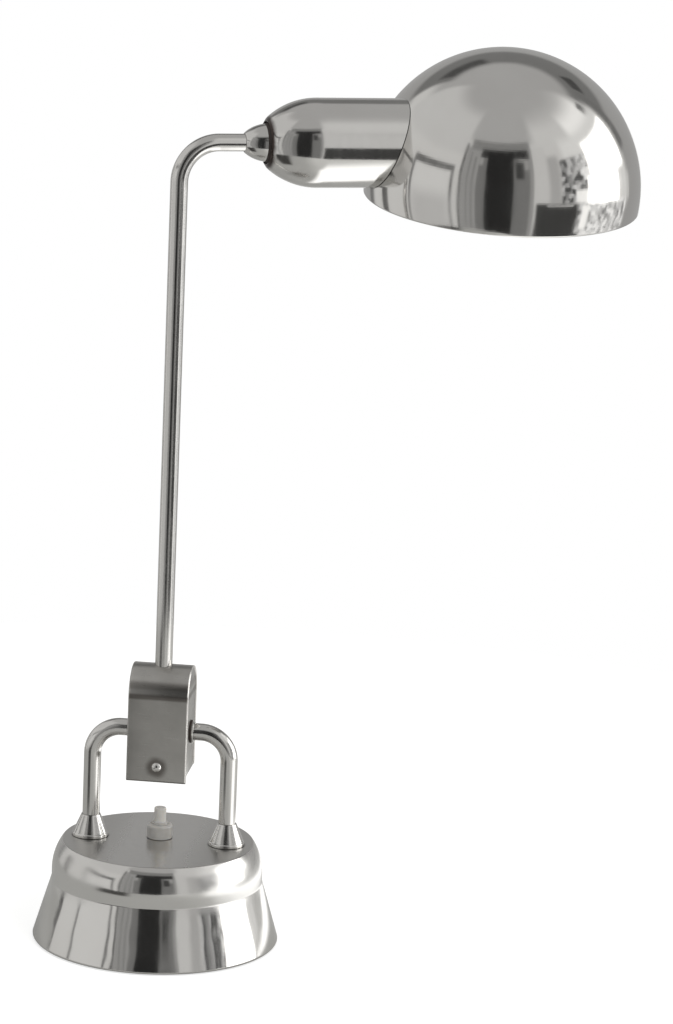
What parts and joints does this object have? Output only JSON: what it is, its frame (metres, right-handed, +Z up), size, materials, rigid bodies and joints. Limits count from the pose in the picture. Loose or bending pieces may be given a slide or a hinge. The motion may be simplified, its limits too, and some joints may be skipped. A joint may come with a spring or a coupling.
{
  "type": "desk lamp",
  "caption": "Chromed metal desk lamp: flared round base with push switch, tube bail, folded tilting bracket, bent swivel rod and domed shade on a bullet-shaped socket housing.",
  "frame": {"origin": "centre of the felt's underside, on the base's axis", "axes": "+Z up along the base's axis, +X along the bail's axis towards the side that the shade hangs on, -Y towards the front, where the bracket's screw is"},
  "size_m": [0.3275, 0.2295, 0.5213],
  "materials": {
    "polished_chrome": "mirror-polished chrome plate, a little worn",
    "brushed_steel": "satin, faint stains",
    "iron": "as cast",
    "zinc_steel": "zinc plated",
    "felt": "felt",
    "black_rubber": "matt",
    "brown_fibre": "pressed fibre",
    "black_plastic": "moulded, semi-matt",
    "white_plastic": "semi-matt",
    "porcelain": "glazed",
    "brass": "plain",
    "bulb_cap_metal": "pressed",
    "bulb_glass": "opal, white inside"
  },
  "bodies": {
    "base": {"base_shell": "polished_chrome", "base_weight": "iron", "base_plate": "zinc_steel", "plate_screws": "zinc_steel", "felt_pad": "felt", "cord_grommet": "black_rubber", "foot_left": "polished_chrome", "foot_right": "polished_chrome", "bail_left": "polished_chrome", "bail_right": "polished_chrome", "leg_washers": "zinc_steel", "leg_nuts": "zinc_steel", "base_lead": "black_rubber", "pivot_washers": "brown_fibre", "pivot_nuts": "polished_chrome", "pivot_springs": "zinc_steel", "pivot_locknuts": "zinc_steel", "switch_body": "white_plastic", "switch_ring_nut": "white_plastic", "switch_spring": "zinc_steel"},
    "button": {"switch_button": "white_plastic"},
    "bracket": {"bracket_cover": "brushed_steel", "bracket_frame": "brushed_steel", "swivel_block": "zinc_steel", "bracket_screw": "polished_chrome", "bracket_nut": "zinc_steel"},
    "arm": {"arm_tube": "polished_chrome", "arm_lead": "black_rubber", "swivel_collar": "zinc_steel", "swivel_washer": "brown_fibre", "swivel_nut": "zinc_steel", "arm_bell": "polished_chrome", "head_gasket": "brown_fibre", "head_washer": "brown_fibre", "head_nut": "zinc_steel", "holder_cap": "black_plastic", "holder_body": "black_plastic", "holder_insert": "porcelain", "holder_thread": "brass", "holder_contact": "brass", "bulb_cap": "bulb_cap_metal", "bulb_glass": "bulb_glass"},
    "head": {"socket_housing": "polished_chrome", "port_collar": "zinc_steel", "shade": "polished_chrome"}
  },
  "joints": [
    {"name": "button_press", "type": "slide", "parent": "base", "child": "button", "axis": [0, 0, -1], "range_m": [0, 0.003], "stiffness_N_per_m": 600, "springref_m": -0.003, "deforming": ["switch_spring"]},
    {"name": "bracket_tilt", "type": "hinge", "parent": "base", "child": "bracket", "pos_m": [0, 0, 0.1255], "axis": [1, 0, 0], "range_deg": [-45, 45]},
    {"name": "arm_swivel", "type": "hinge", "parent": "bracket", "child": "arm", "pos_m": [0, 0, 0.155], "axis": [0, 0, 1], "range_deg": [-170, 170]},
    {"name": "head_turn", "type": "hinge", "parent": "arm", "child": "head", "pos_m": [0, 0, 0.4665], "axis": [0.9205, 0.3907, 0], "range_deg": [-90, 90]}
  ]
}
